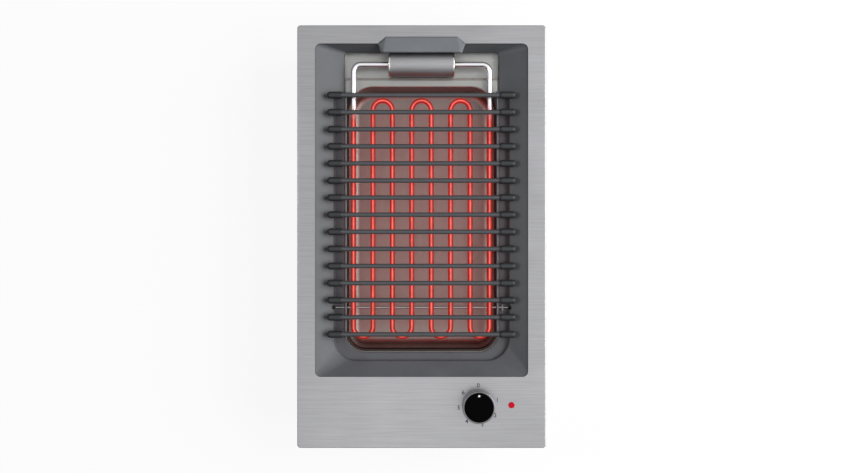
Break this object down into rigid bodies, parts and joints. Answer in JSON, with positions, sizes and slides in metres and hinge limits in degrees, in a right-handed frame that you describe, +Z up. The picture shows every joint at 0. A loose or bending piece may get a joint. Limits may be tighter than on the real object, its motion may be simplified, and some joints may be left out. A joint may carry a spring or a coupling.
{
  "type": "built-in electric grill",
  "caption": "Narrow built-in electric grill: lift-off bar grid over a swing-up tubular element and a lift-out drip pan, with a control knob and pilot lamp in a steel top plate.",
  "frame": {"origin": "centre of the worktop seat: the plane of the worktop under the middle of the top plate", "axes": "+X to the cook's right, +Y to the back of the hob, +Z up out of the worktop"},
  "size_m": [0.3, 0.51, 0.1311],
  "materials": {
    "plate_steel": "brushed stainless steel, grain across the width",
    "enamel": "grey vitreous enamel on pressed steel, satin",
    "grid_enamel": "dark enamelled steel bars with cast ends",
    "hinge_steel": "satin stainless steel",
    "pan_steel": "bright deep-drawn stainless steel",
    "element_steel": "nickel-chrome alloy tube, red hot along its legs",
    "rod_steel": "bright drawn stainless wire",
    "ceramic": "unglazed ceramic",
    "bronze": "turned bronze",
    "galvanised": "galvanised sheet steel",
    "zinc_steel": "zinc-plated steel",
    "brass": "machined brass",
    "knob_plastic": "black moulded phenolic",
    "knob_metal": "turned and brushed ring",
    "dot_paint": "white filled dot",
    "lamp_red": "clear red moulded lens",
    "black_plastic": "black moulded nylon",
    "seal_rubber": "black silicone",
    "gasket_foam": "closed-cell foam strip",
    "mat_fibre": "pressed mineral fibre",
    "block_plastic": "cream moulded thermoset"
  },
  "bodies": {
    "hob": {"top_plate": "plate_steel", "worktop_gasket": "gasket_foam", "surround": "enamel", "hinge_cover": "enamel", "hinge_barrel": "hinge_steel", "barrel_cap_left": "hinge_steel", "barrel_cap_right": "hinge_steel", "hinge_bush_left": "bronze", "hinge_bush_right": "bronze", "hinge_saddle": "hinge_steel", "hinge_shelf": "hinge_steel", "pan_seat": "hinge_steel", "well_liner": "galvanised", "casing_left": "galvanised", "casing_right": "galvanised", "casing_front": "galvanised", "casing_back": "galvanised", "base_tray": "galvanised", "base_screws": "zinc_steel", "partition": "galvanised", "heat_shield": "galvanised", "insulation_mat": "mat_fibre", "thermal_cutout": "black_plastic", "regulator_body": "black_plastic", "regulator_bracket": "galvanised", "regulator_nut": "zinc_steel", "regulator_blades": "brass", "shaft_seal": "seal_rubber", "lamp_lens": "lamp_red", "lamp_ring": "zinc_steel", "lamp_holder": "black_plastic", "cable_bush": "black_plastic", "cable_bush_nut": "black_plastic", "terminal_block": "block_plastic", "terminal_screws": "brass", "earth_stud": "zinc_steel", "earth_nut": "brass", "clamp_brackets": "zinc_steel", "clamp_screws": "zinc_steel"},
    "grid": {"grid_bars": "grid_enamel", "grid_feet": "grid_enamel", "grid_tie_left": "grid_enamel", "grid_tie_right": "grid_enamel"},
    "element": {"heating_element": "element_steel", "terminal_pins": "zinc_steel", "terminal_insulators": "ceramic", "support_rod": "rod_steel", "rod_clips": "rod_steel", "rod_stop": "rod_steel"},
    "pan": {"drip_pan": "pan_steel"},
    "knob": {"knob_cap": "knob_plastic", "knob_bezel": "knob_metal", "knob_pointer": "dot_paint", "regulator_shaft": "zinc_steel"}
  },
  "joints": [
    {"name": "grid_lift", "type": "slide", "parent": "hob", "child": "grid", "axis": [0, 0, 1], "range_m": [0, 0.54]},
    {"name": "element_tilt", "type": "hinge", "parent": "hob", "child": "element", "pos_m": [0, 0.2094, -0.00655], "axis": [-1, 0, 0], "range_deg": [0, 90]},
    {"name": "pan_lift", "type": "slide", "parent": "hob", "child": "pan", "axis": [0, 0, 1], "range_m": [0, 0.039]},
    {"name": "knob_turn", "type": "hinge", "parent": "hob", "child": "knob", "pos_m": [0.0684, -0.2035, 0.006], "axis": [0, 0, 1], "range_deg": [-310, 0]}
  ],
  "couplings": [
    {"joint": "element_tilt", "follows": "grid_lift", "rad_per_m": 2.9},
    {"joint": "pan_lift", "follows": "grid_lift", "ratio": 0.072}
  ]
}
